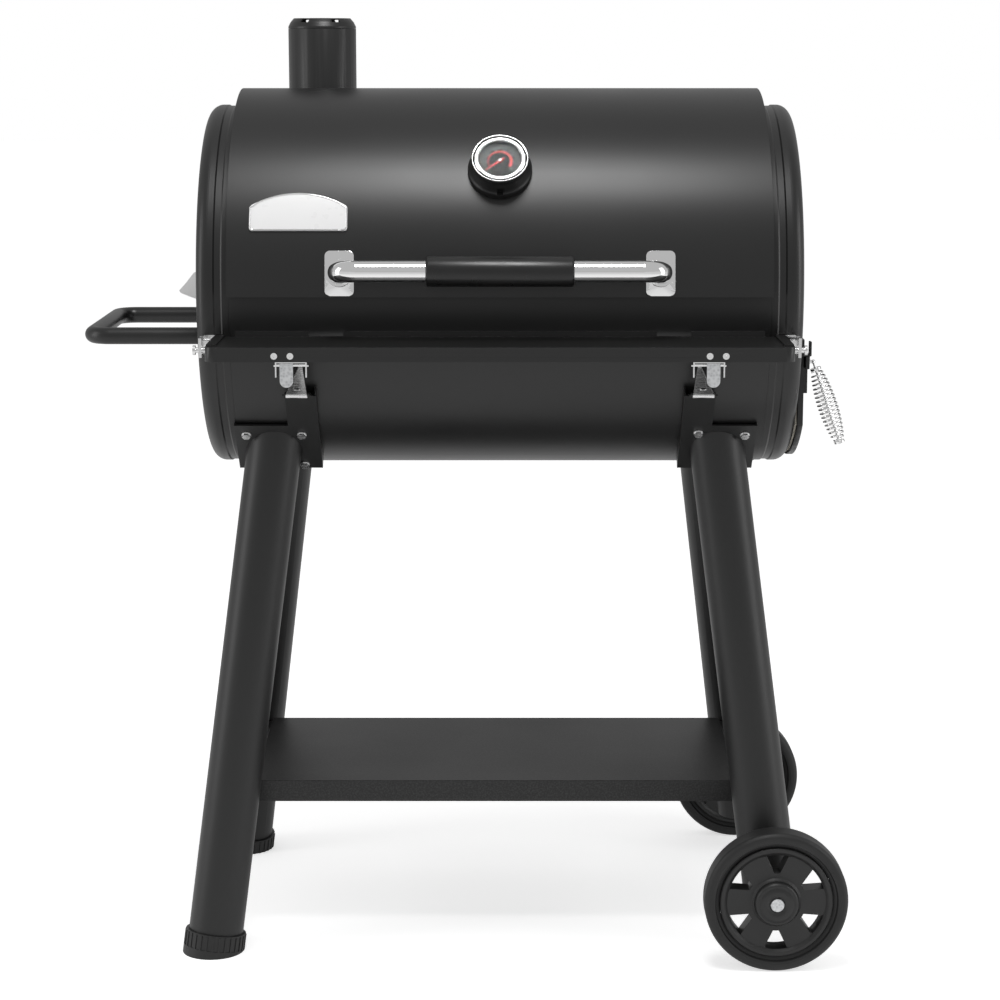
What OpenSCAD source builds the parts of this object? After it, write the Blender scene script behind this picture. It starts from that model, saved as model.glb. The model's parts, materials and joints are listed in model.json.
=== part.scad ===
// Barrel charcoal grill: a horizontal steel barrel on four splayed tube legs, with a hinged lid.
// Millimetres. +Z is up, the cook stands on the -Y side, and the origin is on the floor in the
// middle of the overall footprint.

/* [Barrel] */
// Height of the barrel's axis above the floor
axis_z = 917; // [900:1:935]
// Outside radius of the barrel's shell
barrel_r = 254; // [252:1:256]
// Length of the shell between the two end caps
shell_len = 725; // [700:1:760]
// How far each pressed end cap stands out beyond the shell
cap_depth = 45; // [40:1:50]
// Thickness of the barrel's sheet steel
sheet = 2; // [1.5:0.1:2.5]

/* [Lid] */
// Outside radius of the lid's shell
lid_r = 276; // [274:1:280]
// Height of the lid's lower edge above the barrel's axis
lid_edge = 7; // [4:1:12]
// Angle of the handle above the barrel's axis, seen from the end
handle_angle = 8; // [7:0.5:9]
// Distance of the handle's tube from the barrel's axis
handle_reach = 322; // [318:1:326]
// Overall width of the handle's bent tube
handle_w = 454; // [420:1:470]
// Outside diameter of the handle's tube
handle_d = 28.6; // [26:0.1:30]
// Angle of the thermometer above the barrel's axis
gauge_angle = 38; // [34:0.5:42]
// Sideways place of the chimney
chimney_x = -258; // [-280:1:-230]
// Distance of the chimney behind the barrel's axis
chimney_y = 110; // [95:1:125]
// Outside radius of the chimney pipe
chimney_r = 49; // [46:0.5:52]
// Height of the chimney's crown above the barrel's axis
chimney_top = 374; // [360:1:390]

/* [Front shelf] */
// Height of the front shelf's top above the floor
shelf_z = 870; // [866:1:874]
// Distance of the front shelf's front edge from the barrel's axis
shelf_front = 385; // [375:1:390]
// Half the length of the front shelf
shelf_half = 381; // [379:0.5:382]
// Depth of the folded apron below the front shelf
apron_h = 19; // [16:1:21]

/* [Legs] */
// Outside diameter of the leg tubes
leg_d = 76.2; // [72:0.1:78]
// Half the spread of the feet from side to side
foot_x = 397; // [390:1:405]
// Half the spread of the feet from front to back
foot_y = 230; // [225:1:235]
// Inward lean of a leg per millimetre of height
lean_x = 0.127; // [0.12:0.001:0.13]
// Inward lean of a leg per millimetre of height, towards the middle front to back
lean_y = 0.12; // [0.115:0.001:0.125]
// Height of the bottom shelf's top above the floor
bottom_shelf_z = 228; // [220:1:236]

/* [Wheels] */
// Outside radius of the tyres
wheel_r = 98.5; // [95:0.5:102]
// Width of the tyres
wheel_w = 40; // [36:1:42]
// Distance of each wheel's middle plane from the barrel's axis
wheel_y = 300; // [298:1:306]

/* [Side handle] */
// How far the left handle reaches from the barrel's middle
side_reach = 578; // [560:1:590]
// Spacing of the left handle's two rails
side_gap = 274; // [260:1:290]

/* [Hidden] */
$fn = 96;

shell_half = shell_len / 2;
cap_x = shell_half + cap_depth;
wheel_x = foot_x - 6 - lean_x * wheel_r;
leg_mid_x = -6;
fit = 0.3;
run = 0.08;
steel_black = [0.09, 0.09, 0.095];
stainless = [0.78, 0.78, 0.79];

// The origin lies under the middle of the overall footprint.
rivet_out = 2;
nut_end = 8;
shift_x = (side_reach - (wheel_x + wheel_r)) / 2;
shift_y = (shelf_front + rivet_out - (wheel_y + wheel_w / 2 + nut_end)) / 2;

module at_floor() translate([shift_x, shift_y, 0]) children();
module at_axis() at_floor() translate([0, 0, axis_z]) children();
module both_sides() { children(); mirror([1, 0, 0]) children(); }
module rod_x(r, x0, x1) translate([x0, 0, 0]) rotate([0, 90, 0]) cylinder(r = r, h = x1 - x0);
module rod_y(r, y0, y1) translate([0, y0, 0]) rotate([-90, 0, 0]) cylinder(r = r, h = y1 - y0);
module tube_x(r_out, r_in, x0, x1) difference() {
    rod_x(r_out, x0, x1);
    rod_x(r_in, x0 - 1, x1 + 1);
}
// Turns a child whose outward direction is -Y to the given height angle on the lid.
module on_lid(angle) at_axis() rotate([-angle, 0, 0]) children();
function arc(cx, cy, r, a0, a1, n = 12) =
    [for (i = [0 : n]) let (a = a0 + (a1 - a0) * i / n) [cx + r * cos(a), cy + r * sin(a)]];
module rounded_rect(w, h, r) union() {
    square([w - 2 * r, h], center = true);
    square([w, h - 2 * r], center = true);
    for (sx = [-1, 1], sy = [-1, 1]) translate([sx * (w / 2 - r), sy * (h / 2 - r)]) circle(r, $fn = 32);
}

// ---------------------------------------------------------------- barrel
rim_rise = 26;

module barrel_shell() color(steel_black) at_axis() difference() {
    tube_x(barrel_r, barrel_r - sheet, -shell_half, shell_half);
    translate([-shell_half - 1, -barrel_r - 1, rim_rise]) cube([shell_len + 2, 2 * barrel_r + 2, barrel_r]);
}

// Radii and depths of the pressed end cap, measured outwards from the shell's end.
cap_r = barrel_r - 1;
cap_corner = 17;
flange_r = barrel_r - sheet - fit;
panel_r = 218;
panel_step = 4;
panel_x = cap_x - panel_step;

module cap_outline(step) polygon(concat(
    [[flange_r - sheet, -16], [flange_r, -16], [flange_r, fit], [cap_r, fit],
     [cap_r, 9], [cap_r - 1.4, 11], [cap_r - 1.4, 19], [cap_r, 21]],
    arc(cap_r - cap_corner, cap_depth - cap_corner, cap_corner, 0, 90),
    step > 0 ? [[panel_r + step, cap_depth], [panel_r, cap_depth - step]] : [],
    [[0, cap_depth - step], [0, cap_depth - step - sheet]],
    step > 0 ? [[panel_r + 1, cap_depth - step - sheet], [panel_r + step + 1, cap_depth - sheet]] : [],
    arc(cap_r - cap_corner, cap_depth - cap_corner, cap_corner - sheet, 90, 0),
    [[cap_r - sheet, 22], [cap_r - 3.4, 20], [cap_r - 3.4, 10], [cap_r - sheet, 8],
     [cap_r - sheet, 1 + fit + 1], [flange_r - sheet, 1 + fit + 1]]));
module end_cap(step) translate([shell_half, 0, 0]) rotate([0, 90, 0]) rotate_extrude() cap_outline(step);

// The left cap has six air slots behind the turning damper.
damper_z = -85;
damper_r = 62;
slots = 6;
module air_slots(inner, outer, w) for (i = [0 : slots - 1]) rotate([i * 360 / slots + 30, 0, 0])
    translate([-20, -w / 2, inner]) cube([40, w, outer - inner]);
module end_cap_left() color(steel_black) at_axis() mirror([1, 0, 0]) difference() {
    end_cap(panel_step);
    translate([panel_x, 0, damper_z]) air_slots(24, 54, 16);
    translate([panel_x - 20, 0, damper_z]) rod_x(3 + run, 0, 40);
}

// The right cap has a wide ash and charcoal opening in its lower half.
door_half = 165;
door_top = -62;
door_r = 245;
opening_half = 140;
opening_r = 212;
module door_region(half, r, top) intersection() {
    circle(r);
    translate([-half, -r - 1]) square([2 * half, r + 1 + top]);
}
// Local X, Y of a flat outline become +Y and +Z, and it is extruded along +X.
module side_plate(x, t) translate([x, 0, 0]) rotate([90, 0, 90]) linear_extrude(height = t) children();
plug_y = -150;
plug_z = -54;
module end_cap_right() color(steel_black) at_axis() difference() {
    end_cap(0);
    side_plate(cap_x - 25, 50) door_region(opening_half, opening_r, door_top - 25);
    translate([cap_x - 20, plug_y, plug_z]) rod_x(4, 0, 40);
}

// Ledges inside the shell: two for the cooking grids, two for the charcoal tray, two for the ash pan.
grid_z = -45;
tray_z = -150;
ash_z = -198;
ash_half_w = 70;
ledge_half = shell_half - 20;
module scale_y(s) mirror([0, s < 0 ? 1 : 0, 0]) children();
module inner_ledges() color(steel_black) at_axis() intersection() {
    for (s = [-1, 1]) scale_y(s) {
        translate([-ledge_half, 229, grid_z - sheet]) cube([2 * ledge_half, 30, sheet]);
        translate([-ledge_half, 180, tray_z - sheet]) cube([2 * ledge_half, 40, sheet]);
        translate([-300, ash_half_w - 18, ash_z - 3]) cube([600, 20, 2.7]);
        translate([-300, ash_half_w, -260]) cube([600, 2, 260 + ash_z]);
    }
    rod_x(barrel_r - sheet - 0.15, -ledge_half, ledge_half);
}

rack_z = 58;
rack_in = panel_x - sheet - fit;
module rack_hangers() color(stainless) at_axis() for (s = [-1, 1]) mirror([s < 0 ? 1 : 0, 0, 0]) {
    depth = 22 + (s > 0 ? panel_step : 0);
    translate([rack_in - 22, 55, rack_z - 3]) cube([depth, 150, 3]);
    translate([rack_in - 25 + depth, 55, rack_z - 20]) cube([3, 150, 20]);
}

// ---------------------------------------------------------------- left handle
side_z = -60;
side_tube_r = 11.75;
side_bend = 26;
module side_handle() color(steel_black) at_axis() translate([0, 0, side_z]) {
    mid_x = -(side_reach - side_tube_r);
    half = side_gap / 2;
    translate([mid_x, 0, 0]) rod_y(side_tube_r, -half + side_bend, half - side_bend);
    for (s = [-1, 1]) scale_y(s) {
        translate([mid_x + side_bend, half - side_bend, 0]) rotate([0, 0, 90])
            rotate_extrude(angle = 90) translate([side_bend, 0]) circle(side_tube_r, $fn = 48);
        translate([0, half, 0]) rod_x(side_tube_r, mid_x + side_bend, -panel_x - 1);
        side_plate(-panel_x - 4.2, 4) translate([half, 0]) side_flange();
    }
}
module side_flange() union() {
    circle(20, $fn = 64);
    square([24, 62], center = true);
    for (v = [-1, 1]) translate([0, v * 31]) circle(12, $fn = 48);
}
module side_handle_bolts() at_axis() translate([-panel_x - 4.3, 0, side_z])
    for (s = [-1, 1], v = [-1, 1]) translate([0, s * side_gap / 2, v * 31]) mirror([1, 0, 0])
        union() {
            rod_x(6.5, 0, 1.2);
            rod_x(5.2, 1, 5);
        }

// ---------------------------------------------------------------- lid hinge
hinge_y = 292;
hinge_z = -5;
hinge_x = 250;
pin_r = 4;
ear_gap = 30;
ear_t = 4;
module ear_outline() union() {
    translate([hinge_y, hinge_z]) circle(9);
    polygon([[hinge_y - 42, hinge_z - 44], [hinge_y - 36, hinge_z - 44], [hinge_y + 8.2, hinge_z - 3.5],
             [hinge_y + 3, hinge_z + 8.4], [hinge_y - 8, hinge_z + 4.2], [hinge_y - 42, hinge_z - 12]]);
}
module hinge_ears() color(steel_black) at_axis() both_sides() difference() {
    union() {
        for (s = [0, 1]) side_plate(hinge_x - ear_gap / 2 - ear_t + s * (ear_gap + ear_t), ear_t) ear_outline();
        translate([hinge_x - ear_gap / 2 - ear_t, barrel_r - 4, hinge_z - 44])
            cube([ear_gap + 2 * ear_t, 6.5, 32]);
    }
    translate([0, hinge_y, hinge_z]) rod_x(pin_r + run, hinge_x - 30, hinge_x + 30);
    rod_x(barrel_r + 0.2, hinge_x - 30, hinge_x + 30);
}
module hinge_pins() at_axis() both_sides() translate([0, hinge_y, hinge_z]) union() {
    rod_x(pin_r, hinge_x - ear_gap / 2 - ear_t - 3, hinge_x + ear_gap / 2 + ear_t + 0.4);
    rod_x(6.5, hinge_x + ear_gap / 2 + ear_t + 0.3, hinge_x + ear_gap / 2 + ear_t + 4);
}

// ---------------------------------------------------------------- lid
lid_half = shell_half + 0.5;
lip_r = barrel_r + 2;
lid_in = lid_r - sheet;
stem_r = 3.2;
module lid_shell() color(steel_black) difference() {
    at_axis() difference() {
        union() {
            tube_x(lid_r, lid_in, -lid_half, lid_half);
            both_sides() tube_x(lid_in + 0.5, lip_r, lid_half - sheet, lid_half);
        }
        translate([-lid_half - 1, -lid_r - 1, -lid_r - 1])
            cube([2 * lid_half + 2, 2 * lid_r + 2, lid_r + 1 + lid_edge]);
    }
    on_lid(gauge_angle) rod_y(stem_r + 0.3, -lid_r - 5, -lid_r + 8);
    at_axis() translate([chimney_x, chimney_y, 150]) cylinder(r = chimney_r - sheet, h = 150);
}
module lid_hinge_leaves() color(steel_black) at_axis() both_sides() difference() {
    union() {
        intersection() {
            tube_x(lid_r + 2.9, lid_r + 0.2, hinge_x - 26, hinge_x + 26);
            translate([hinge_x - 26, 240, lid_edge + 2]) cube([52, 60, 52]);
        }
        side_plate(hinge_x - ear_gap / 2 + 0.6, ear_gap - 1.2) union() {
            translate([hinge_y, hinge_z]) circle(8);
            difference() {
                polygon([[hinge_y - 7, hinge_z + 3], [hinge_y + 7.9, hinge_z + 1],
                         [lid_r + 6, lid_edge + 28], [lid_r - 4, lid_edge + 28],
                         [lid_r - 4, lid_edge + 6]]);
                circle(lid_r + 0.3);
            }
        }
    }
    translate([0, hinge_y, hinge_z]) rod_x(pin_r + run, hinge_x - 30, hinge_x + 30);
}

plate_w = 38.5;
plate_h = 60;
collar_r = 18.3;
handle_leg_x = handle_w / 2 - handle_d / 2;
module handle_plates() color(stainless) on_lid(handle_angle) both_sides() union() {
    intersection() {
        tube_x(lid_r + 3, lid_r + fit, handle_leg_x - 25, handle_leg_x + 25);
        translate([handle_leg_x, -lid_r + 20, 0]) rotate([90, 0, 0])
            linear_extrude(height = 40) rounded_rect(plate_w, plate_h, 7);
    }
    difference() {
        translate([handle_leg_x, 0, 0]) rod_y(collar_r, -lid_r - 16, -lid_r - 1);
        rod_x(lid_r + fit, handle_leg_x - 30, handle_leg_x + 30);
        translate([handle_leg_x, 0, 0]) rod_y(handle_d / 2 + 0.1, -lid_r - 20, -lid_r - 4);
    }
}
tube_t = 1.6;
bend_r = 24;
module bent_handle(r) {
    rod_at = -handle_reach;
    translate([0, rod_at, 0]) rod_x(r, -handle_leg_x + bend_r, handle_leg_x - bend_r);
    both_sides() {
        translate([handle_leg_x - bend_r, rod_at + bend_r, 0]) rotate([0, 0, -90])
            rotate_extrude(angle = 90) translate([bend_r, 0]) circle(r, $fn = 64);
        translate([handle_leg_x, 0, 0]) rod_y(r, rod_at + bend_r, -lid_r - 4.2);
    }
}
module handle_tube() color(stainless) on_lid(handle_angle) difference() {
    bent_handle(handle_d / 2);
    bent_handle(handle_d / 2 - tube_t);
}
grip_half = 97;
grip_r = 19.8;
module handle_grip() color([0.03, 0.03, 0.03]) on_lid(handle_angle) translate([0, -handle_reach, 0])
    rotate([0, 90, 0]) rotate_extrude() polygon([
        [handle_d / 2 + 0.1, -grip_half], [grip_r - 2, -grip_half], [grip_r, -grip_half + 2],
        [grip_r, grip_half - 2], [grip_r - 2, grip_half], [handle_d / 2 + 0.1, grip_half]]);

name_x = -267.5;
name_w = 130;
name_h = 35;
name_arch = 19;
name_angle = 23.4;
module nameplate() color([0.92, 0.92, 0.92]) on_lid(name_angle) intersection() {
    tube_x(lid_r + 2.4, lid_r + fit, name_x - name_w, name_x + name_w);
    translate([name_x, -lid_r + 30, 0]) rotate([90, 0, 0]) linear_extrude(height = 60) {
        arch_r = (pow(name_w / 2, 2) + pow(name_arch, 2)) / (2 * name_arch);
        union() {
            rounded_rect(name_w, name_h, 4);
            intersection() {
                translate([0, name_h / 2 + name_arch - arch_r - 1]) circle(arch_r);
                translate([-name_w / 2 + 2, 0]) square([name_w - 4, name_h + name_arch]);
            }
        }
    }
}

// ---------------------------------------------------------------- thermometer
gauge_base_r = 43;
gauge_r = 37.5;
gauge_out = lid_r + 31;
module gauge_turned(points) rotate([90, 0, 0]) rotate_extrude() polygon(points);
module gauge_housing() color(steel_black) on_lid(gauge_angle) difference() {
    gauge_turned([[0, lid_r - 12], [gauge_base_r, lid_r - 12], [gauge_base_r, lid_r + 6],
                  [gauge_base_r - 2, lid_r + 9], [gauge_r - 1, gauge_out - 8], [gauge_r - 1, gauge_out - 6],
                  [gauge_r - 4, gauge_out - 6], [gauge_r - 4, gauge_out - 12], [0, gauge_out - 12]]);
    rod_x(lid_r + 0.2, -60, 60);
    rod_y(stem_r + 0.3, -gauge_out, -lid_r + 20);
    translate([-4, -lid_r - 15, -gauge_base_r - 2]) cube([8, 9, 9]);
}
module gauge_dial() color([0.03, 0.03, 0.03]) on_lid(gauge_angle) difference() {
    rod_y(gauge_r - 4.3, -gauge_out + 8.5, -gauge_out + 11.7);
    rod_y(1.2, -gauge_out, -gauge_out + 20);
}
module gauge_lens() color([0.9, 0.95, 1, 0.3]) on_lid(gauge_angle)
    rod_y(gauge_r - 4.2, -gauge_out + 1.5, -gauge_out + 3.5);
module gauge_bezel() color([0.9, 0.9, 0.9]) on_lid(gauge_angle) gauge_turned(concat(
    [[gauge_r - 3.9, gauge_out - 5.8], [gauge_r, gauge_out - 5.8]],
    arc(gauge_r - 1.6, gauge_out - 1.6, 1.6, 0, 90, 6),
    [[gauge_r - 4, gauge_out], [gauge_r - 5, gauge_out - 1.2], [gauge_r - 7.5, gauge_out - 0.4],
     [gauge_r - 8.2, gauge_out - 1.3], [gauge_r - 3.9, gauge_out - 1.3]]));
module gauge_stem() color(stainless) on_lid(gauge_angle) union() {
    rod_y(stem_r, -lid_r - 18, -lid_r + 55);
    rotate([90, 0, 0]) translate([0, 0, lid_r - sheet - 6.5]) cylinder(r = 11, h = 6, $fn = 6);
}
module gauge_needle() color([0.8, 0.05, 0.03]) on_lid(gauge_angle) union() {
    rod_y(1.12, -gauge_out + 6, -gauge_out + 11);
    rod_y(3.2, -gauge_out + 5.6, -gauge_out + 7.6);
    translate([0, -gauge_out + 7.4, 0]) rotate([90, 0, 0]) rotate([0, 0, 218])
        linear_extrude(height = 0.8) polygon([[-7, -1.4], [2, -1.6], [24, -0.4], [24, 0.4], [2, 1.6], [-7, 1.4]]);
}

// ---------------------------------------------------------------- chimney
crown_z = chimney_top - 15;
module lid_clear() at_axis() rod_x(lid_r + 0.2, chimney_x - 80, chimney_x + 80);
module chimney_pipe() color(steel_black) difference() {
    at_axis() translate([chimney_x, chimney_y, 0]) difference() {
        union() {
            translate([0, 0, 230]) cylinder(r = chimney_r, h = crown_z - 230);
            intersection() {
                translate([0, 0, 200]) cylinder(r = chimney_r + 12, h = 90);
                translate([-chimney_x, -chimney_y, 0])
                    rod_x(lid_r + 2.4, chimney_x - 80, chimney_x + 80);
            }
        }
        translate([0, 0, 190]) cylinder(r = chimney_r - 1.5, h = 200);
    }
    lid_clear();
}
// The six teeth of the fixed ring shut the crown's six notches when the crown is turned.
teeth = 6;
module tooth_gaps(w, z) for (i = [0 : teeth - 1]) rotate([0, 0, i * 360 / teeth])
    translate([33, -w / 2, z]) cube([30, w, 20]);
module chimney_vent_ring() color(steel_black) at_axis() translate([chimney_x, chimney_y, crown_z]) union() {
    difference() {
        translate([0, 0, -30]) cylinder(r = chimney_r - 10, h = 42.5);
        translate([0, 0, -31]) cylinder(r = chimney_r - 11.5, h = 45);
        tooth_gaps(16, 7);
    }
    difference() {
        translate([0, 0, -30]) cylinder(r = chimney_r - 1.6, h = 2);
        translate([0, 0, -31]) cylinder(r = chimney_r - 11.5, h = 4);
    }
}
module chimney_crown() color(steel_black) at_axis() translate([chimney_x, chimney_y, crown_z]) difference() {
    rotate_extrude() polygon(concat(
        [[chimney_r - 3.4, -20], [chimney_r - 1.9, -20], [chimney_r - 1.9, fit], [chimney_r, fit],
         [chimney_r, 3], [chimney_r - 1.5, 6], [chimney_r - 3.2, 9.5], [chimney_r - 8, 15], [0, 15], [0, 13]],
        [[chimney_r - 9, 13], [chimney_r - 5, 9], [chimney_r - 3.4, 5]]));
    tooth_gaps(12.5, 9.3);
}

// ---------------------------------------------------------------- left damper
disc_x = panel_x + fit;
disc_t = 1.5;
module damper_disc() color([0.85, 0.85, 0.86]) at_axis() mirror([1, 0, 0]) difference() {
    translate([disc_x, 0, damper_z]) {
        rod_x(damper_r, 0, disc_t);
        translate([0, disc_t / 2, 0]) rotate([90, 0, 0]) linear_extrude(height = disc_t) polygon([
            [0, 40], [0, 60], [14, 92], [26, 104], [35, 100], [46, 86], [56.5, 74.5],
            [54, 71], [42, 66], [30, 61.5], [14, 50]]);
    }
    translate([panel_x, 0, damper_z]) air_slots(25, 53, 15);
    translate([panel_x - 20, 0, damper_z]) rod_x(3 + run, 0, 40);
}
module damper_pivot() at_axis() translate([0, 0, damper_z]) mirror([1, 0, 0]) union() {
    rod_x(3, panel_x - 6, disc_x + disc_t + 1);
    rod_x(7, disc_x + disc_t + fit, disc_x + disc_t + 4);
    rod_x(6, panel_x - 6.2, panel_x - sheet - 0.2);
}

module pivot_pins() color(stainless) {
    hinge_pins();
    damper_pivot();
}

// ---------------------------------------------------------------- right door
door_x = cap_x + 3;
door_depth = 8;
door_out = door_x + door_depth;
module door_shape(inset) door_region(door_half - inset, door_r - inset, door_top - inset);
module side_door() color(steel_black) at_axis() {
    difference() {
        side_plate(door_x, door_depth) door_shape(0);
        side_plate(door_x - 1, door_depth - 1) door_shape(sheet);
        translate([0, latch_y, latch_z]) rod_x(3 + run, door_x - 5, door_x + 20);
    }
    translate([door_x + door_depth / 2, hinge2_y, 0]) difference() {
        union() {
            for (z = door_knuckles) translate([0, 0, z]) cylinder(r = 5.5, h = knuckle_h);
            for (z = door_knuckles) translate([-3, -13, z]) cube([3, 10, knuckle_h]);
        }
        translate([0, 0, -190]) cylinder(r = 2.5 + run, h = 150);
    }
}
hinge2_y = door_half + 9;
door_knuckles = [-139.5, -100.5];
knuckle_h = 18;
ear_knuckles = [[-152, 12], [-121, 20], [-82, 12]];
latch_y = -door_half + 12;
latch_z = -92;
module door_gasket() color([0.75, 0.72, 0.65]) at_axis() side_plate(cap_x + 0.3, 2.4) difference() {
    door_shape(4);
    door_shape(14);
}
module door_hinge_pin() at_axis() translate([door_x + door_depth / 2, hinge2_y, 0]) union() {
    translate([0, 0, -152]) cylinder(r = 2.5, h = 82.2);
    translate([0, 0, -69.8]) cylinder(r = 5, h = 3);
}
module door_hinge_bracket() color(steel_black) at_axis() {
    translate([door_x + door_depth / 2, hinge2_y, 0]) difference() {
        union() {
            for (k = ear_knuckles) translate([0, 0, k[0]]) {
                cylinder(r = 5.5, h = k[1]);
                translate([-6.6, -1, 0]) cube([6.6, 14, k[1]]);
            }
            translate([-6.6, 6, -152]) cube([2.6, 7, 82]);
        }
        translate([0, 0, -190]) cylinder(r = 2.5 + run, h = 150);
    }
}
// Latch: the arm of a lever on the door swings up to a keeper on the cap.
lever_t = 5;
arm_len = 30;
keeper_y = latch_y - arm_len + 3;
module door_keeper() color(steel_black) at_axis() translate([cap_x + 0.3, keeper_y - 7, latch_z + 9 + fit]) {
    cube([3, 14, 25]);
    cube([18, 14, 3]);
    translate([15, 0, 0]) cube([3, 14, 20]);
}
module door_latch() color(steel_black) at_axis() translate([0, latch_y, latch_z]) difference() {
    side_plate(door_out + fit, lever_t) union() {
        circle(11, $fn = 48);
        translate([-arm_len, -9]) square([arm_len, 18]);
        translate([-8, -45]) square([16, 45]);
    }
    rod_x(3 + run, cap_x, cap_x + 30);
}
module door_latch_pivot() at_axis() translate([door_out, latch_y, latch_z]) union() {
    rod_x(3, -5, lever_t + 1);
    rod_x(6, lever_t + 2 * fit, lever_t + 4);
    rod_x(5, -6, -sheet - 0.2);
}
module door_pins() color(stainless) {
    door_hinge_pin();
    door_latch_pivot();
}
// Coil handle: one wire wound into a barrel-shaped coil of open turns.
coil_turns = 17;
coil_len = 100;
coil_wire = 1.2;
coil_tilt = 161;
coil_steps = 12;
wire_sides = 6;
function coil_radius(t) = 6.6 + 6.6 * pow(sin(180 * t), 0.7);
function coil_point(t) = let (a = 360 * coil_turns * t, r = coil_radius(t)) [r * cos(a), r * sin(a), coil_len * t];
coil_rings = coil_turns * coil_steps;
function cross3(a, b) = [a[1] * b[2] - a[2] * b[1], a[2] * b[0] - a[0] * b[2], a[0] * b[1] - a[1] * b[0]];
function unit3(v) = v / norm(v);
function coil_ring(i) = let (
        t = i / coil_rings, p = coil_point(t),
        d = unit3(coil_point(min(1, t + 0.0005)) - coil_point(max(0, t - 0.0005))),
        a = 360 * coil_turns * t, u = unit3([cos(a), sin(a), 0] - d * (d * [cos(a), sin(a), 0])), v = cross3(d, u))
    [for (k = [0 : wire_sides - 1]) let (q = 360 * k / wire_sides) p + coil_wire * (cos(q) * u + sin(q) * v)];
module coil() polyhedron(
    points = [for (i = [0 : coil_rings]) each coil_ring(i)],
    faces = concat(
        [[for (k = [wire_sides - 1 : -1 : 0]) k]],
        [for (i = [0 : coil_rings - 1], k = [0 : wire_sides - 1]) let (n = (k + 1) % wire_sides)
            [i * wire_sides + k, i * wire_sides + n, (i + 1) * wire_sides + n, (i + 1) * wire_sides + k]],
        [[for (k = [0 : wire_sides - 1]) coil_rings * wire_sides + k]]), convexity = 10);
coil_start = 14;
module at_spring() at_axis() translate([cap_x + 23, latch_y - 16, latch_z]) children();
module spring_coil() color(stainless) at_spring() rotate([0, coil_tilt, 0]) translate([0, 0, coil_start]) coil();
module spring_rod() color(stainless) at_spring() union() {
    rod_x(2.2, lever_t - 11.6, 0);
    sphere(r = 3, $fn = 32);
    rotate([0, coil_tilt, 0]) {
        cylinder(r = 1.8, h = coil_start + coil_len + 7, $fn = 24);
        for (z = [coil_start - 5, coil_start + coil_len + 2]) translate([0, 0, z]) cylinder(r = 7.6, h = 3, $fn = 32);
    }
}
module end_plug() color(steel_black) at_axis() translate([0, plug_y, plug_z]) union() {
    rod_x(3.9, cap_x - 12, cap_x + 1);
    rod_x(7, cap_x + 0.4, cap_x + 8);
}

// ---------------------------------------------------------------- fire side
grid_w = 236;
grid_half_y = 239;
bars = 10;
module cooking_grid(x) color([0.07, 0.07, 0.07]) at_axis() translate([x, 0, grid_z + fit]) {
    for (s = [-1, 1]) translate([-grid_w / 2, s * (grid_half_y - 8) - 8, 0]) cube([grid_w, 16, 12]);
    for (s = [-1, 1]) translate([s * (grid_w / 2 - 5) - 5, -grid_half_y + 1, 0]) cube([10, 2 * grid_half_y - 2, 12]);
    for (i = [1 : bars]) translate([-grid_w / 2 + i * grid_w / (bars + 1) - 3.5, -grid_half_y + 1, 1])
        cube([7, 2 * grid_half_y - 2, 11]);
    for (y = [-80, 80]) translate([-grid_w / 2 + 1, y - 5, 0.5]) cube([grid_w - 2, 10, 8]);
}
module cooking_grid_left() cooking_grid(-grid_w - 1);
module cooking_grid_middle() cooking_grid(0);
module cooking_grid_right() cooking_grid(grid_w + 1);

rack_half = rack_in - 4;
module warming_rack() color(stainless) at_axis() translate([0, 0, rack_z + fit + 3]) {
    for (y = [70, 190]) translate([0, y, 0]) rod_x(3, -rack_half, rack_half);
    for (x = [-rack_half + 3, rack_half - 3]) translate([x, 0, 0]) rod_y(3, 70, 190);
    for (i = [1 : 17]) translate([-rack_half + i * 2 * rack_half / 18, 0, 0]) rod_y(2, 70, 190);
}

tray_half_x = 300;
tray_half_y = 160;
tray_deep = 26;
tray_gap = 0.1;
// Two flanged sides, two ends and a slotted floor plate, each a sheet of its own.
module charcoal_tray() color([0.2, 0.2, 0.2]) at_axis() translate([0, 0, tray_z + fit]) {
    for (s = [-1, 1]) scale_y(s) {
        translate([-tray_half_x, tray_half_y - sheet, -tray_deep]) cube([2 * tray_half_x, sheet, tray_deep + sheet]);
        translate([-tray_half_x, tray_half_y - sheet, 0]) cube([2 * tray_half_x, sheet + 36, sheet]);
    }
    end_half = tray_half_y - sheet - tray_gap;
    for (x = [-tray_half_x, tray_half_x - sheet]) translate([x, -end_half, -tray_deep])
        cube([sheet, 2 * end_half, tray_deep + sheet]);
    difference() {
        floor_half = tray_half_x - sheet - tray_gap;
        translate([-floor_half, -end_half, -tray_deep]) cube([2 * floor_half, 2 * end_half, sheet]);
        for (i = [0 : 11], s = [-1, 1]) translate([-tray_half_x + 28 + i * 48.5, s * 76 - 60, -40]) cube([12, 120, 20]);
    }
}
module ash_pan() color([0.45, 0.45, 0.46]) at_axis() translate([0, 0, ash_z]) union() {
    difference() {
        translate([-290, -ash_half_w + 2, 0]) cube([600, 2 * ash_half_w - 4, 16]);
        translate([-288.5, -ash_half_w + 3.5, 1.5]) cube([597, 2 * ash_half_w - 7, 30]);
    }
    translate([309.5, -30, 6]) cube([14, 60, 2]);
    translate([321.5, -30, 6]) cube([2, 60, 10]);
}

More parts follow.
